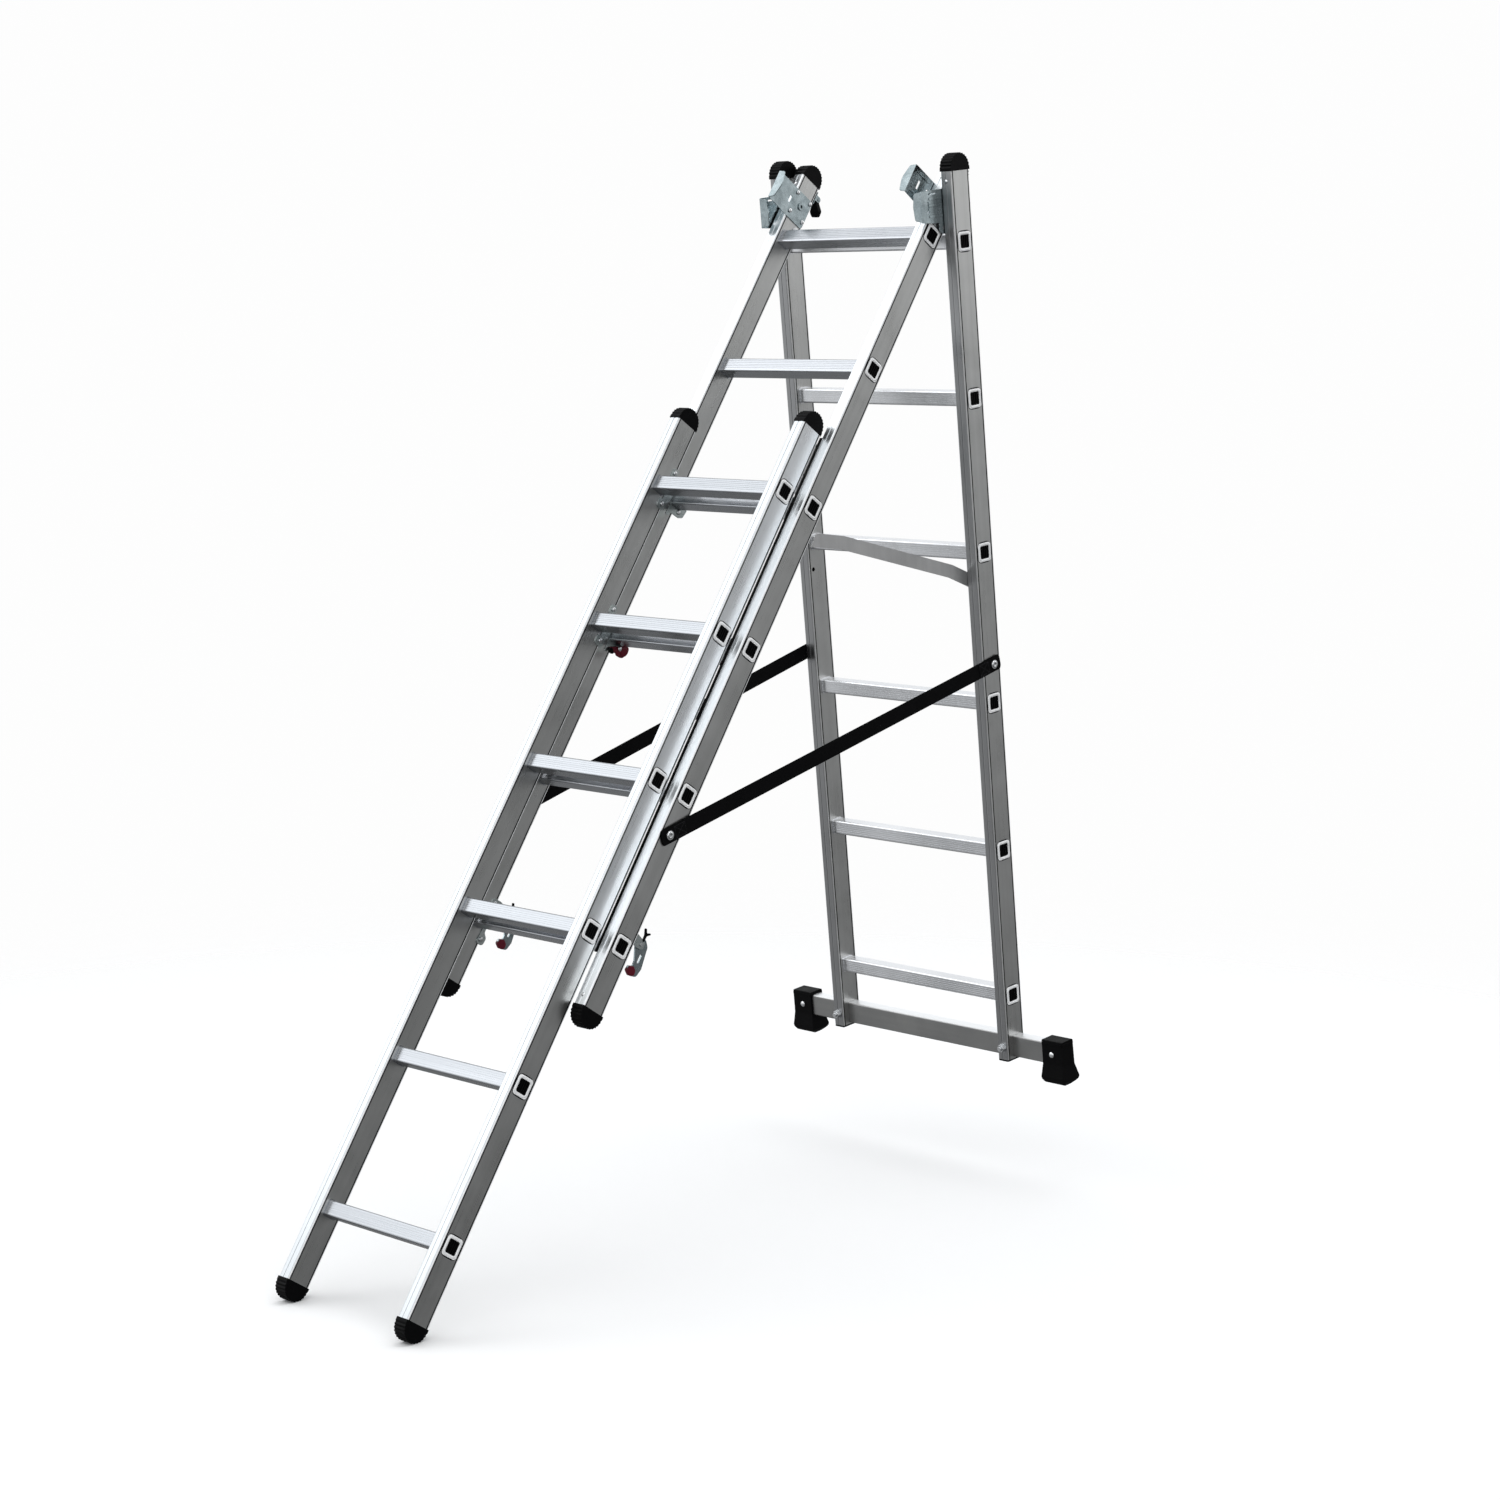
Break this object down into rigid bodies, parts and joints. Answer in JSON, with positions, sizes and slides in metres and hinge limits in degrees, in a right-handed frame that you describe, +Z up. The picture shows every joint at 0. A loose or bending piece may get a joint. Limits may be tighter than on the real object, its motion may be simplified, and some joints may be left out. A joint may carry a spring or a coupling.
{
  "type": "multi position ladder",
  "caption": "Folding and extending ladder of hollow aluminium sections: a hinged rear leg with a wide stabiliser foot, a leaning middle section and a front section that slides along it.",
  "frame": {"origin": "on the floor plane under the middle of the standing ladder's bounding box", "axes": "+X to the right seen from the front, -Y towards the front section's feet, +Z up"},
  "size_m": [0.6888, 1.4794, 1.8991],
  "materials": {
    "stile_aluminium": "extruded, satin, rubbed bright along the bead lines",
    "rung_aluminium": "extruded, ribbed tread faces",
    "bar_aluminium": "mill finish tube",
    "zinc_steel": "zinc plated sheet steel",
    "bright_fasteners": "bright zinc plated rivets, bolts and nuts",
    "black_plastic": "moulded, fine grain",
    "boot_rubber": "moulded rubber",
    "red_plastic": "dark red moulded plastic",
    "strap_webbing": "woven webbing"
  },
  "bodies": {
    "middle_section": {"hinge_pins": "bright_fasteners", "lever_lugs": "zinc_steel", "middle_bottom_caps": "black_plastic", "middle_catch_plates": "zinc_steel", "middle_hinge_plate_left": "zinc_steel", "middle_hinge_plate_right": "zinc_steel", "middle_rivets": "bright_fasteners", "middle_rung_1": "rung_aluminium", "middle_rung_2": "rung_aluminium", "middle_rung_3": "rung_aluminium", "middle_rung_4": "rung_aluminium", "middle_rung_5": "rung_aluminium", "middle_rung_6": "rung_aluminium", "middle_rung_plugs": "black_plastic", "middle_stile_left": "stile_aluminium", "middle_stile_right": "stile_aluminium", "middle_strap_bolts": "bright_fasteners", "middle_top_caps": "black_plastic"},
    "rear_section": {"boot_left": "boot_rubber", "boot_right": "boot_rubber", "boot_rivets": "bright_fasteners", "rear_foot_plugs": "black_plastic", "rear_hinge_plate_left": "zinc_steel", "rear_hinge_plate_right": "zinc_steel", "rear_rivets": "bright_fasteners", "rear_rung_1": "rung_aluminium", "rear_rung_2": "rung_aluminium", "rear_rung_3": "rung_aluminium", "rear_rung_4": "rung_aluminium", "rear_rung_5": "rung_aluminium", "rear_rung_6": "rung_aluminium", "rear_rung_plugs": "black_plastic", "rear_stile_left": "stile_aluminium", "rear_stile_right": "stile_aluminium", "rear_strap_bolts": "bright_fasteners", "rear_top_caps": "black_plastic", "stabiliser_bar": "bar_aluminium", "stabiliser_bolts": "bright_fasteners", "strap_left": "strap_webbing", "strap_right": "strap_webbing"},
    "front_section": {"front_catch_plates": "zinc_steel", "front_feet": "black_plastic", "front_rivets": "bright_fasteners", "front_rung_1": "rung_aluminium", "front_rung_2": "rung_aluminium", "front_rung_3": "rung_aluminium", "front_rung_4": "rung_aluminium", "front_rung_5": "rung_aluminium", "front_rung_6": "rung_aluminium", "front_rung_plugs": "black_plastic", "front_stile_left": "stile_aluminium", "front_stile_right": "stile_aluminium", "front_top_caps": "black_plastic"},
    "stay": {"stay_bar": "zinc_steel"},
    "lock_lever_left": {"lock_lever_left": "black_plastic"},
    "lock_lever_right": {"lock_lever_right": "black_plastic"},
    "lower_hook_left": {"lower_hook_left": "zinc_steel"},
    "lower_hook_right": {"lower_hook_right": "zinc_steel"},
    "safety_catch_left": {"safety_catch_left": "red_plastic"},
    "safety_catch_right": {"safety_catch_right": "red_plastic"}
  },
  "joints": [
    {"name": "fold", "type": "hinge", "parent": "middle_section", "child": "rear_section", "pos_m": [0, 0.50422, 1.76779], "axis": [-1, 0, 0], "range_deg": [0, 36.5], "deforming": ["strap_left", "strap_right"]},
    {"name": "extension", "type": "slide", "parent": "middle_section", "child": "front_section", "axis": [0, 0.5474, 0.8369], "range_m": [-0.56, 0.56]},
    {"name": "stay_swing", "type": "hinge", "parent": "rear_section", "child": "stay", "pos_m": [0, 0.5896, 1.13413], "axis": [1, 0, 0], "range_deg": [0, 100]},
    {"name": "lever_swing_left", "type": "hinge", "parent": "middle_section", "child": "lock_lever_left", "pos_m": [0, 0.5679, 1.82807], "axis": [1, 0, 0], "range_deg": [-10, 50]},
    {"name": "lever_swing_right", "type": "hinge", "parent": "middle_section", "child": "lock_lever_right", "pos_m": [0, 0.5679, 1.82807], "axis": [1, 0, 0], "range_deg": [-10, 50]},
    {"name": "hook_swing_left", "type": "hinge", "parent": "middle_section", "child": "lower_hook_left", "pos_m": [0, -0.22048, 0.57167], "axis": [1, 0, 0], "range_deg": [0, 25]},
    {"name": "hook_swing_right", "type": "hinge", "parent": "middle_section", "child": "lower_hook_right", "pos_m": [0, -0.22048, 0.57167], "axis": [1, 0, 0], "range_deg": [0, 25]},
    {"name": "catch_swing_left", "type": "hinge", "parent": "middle_section", "child": "safety_catch_left", "pos_m": [0, 0.01803, 1.02818], "axis": [-1, 0, 0], "range_deg": [0, 25]},
    {"name": "catch_swing_right", "type": "hinge", "parent": "middle_section", "child": "safety_catch_right", "pos_m": [0, 0.01803, 1.02818], "axis": [-1, 0, 0], "range_deg": [0, 25]}
  ]
}
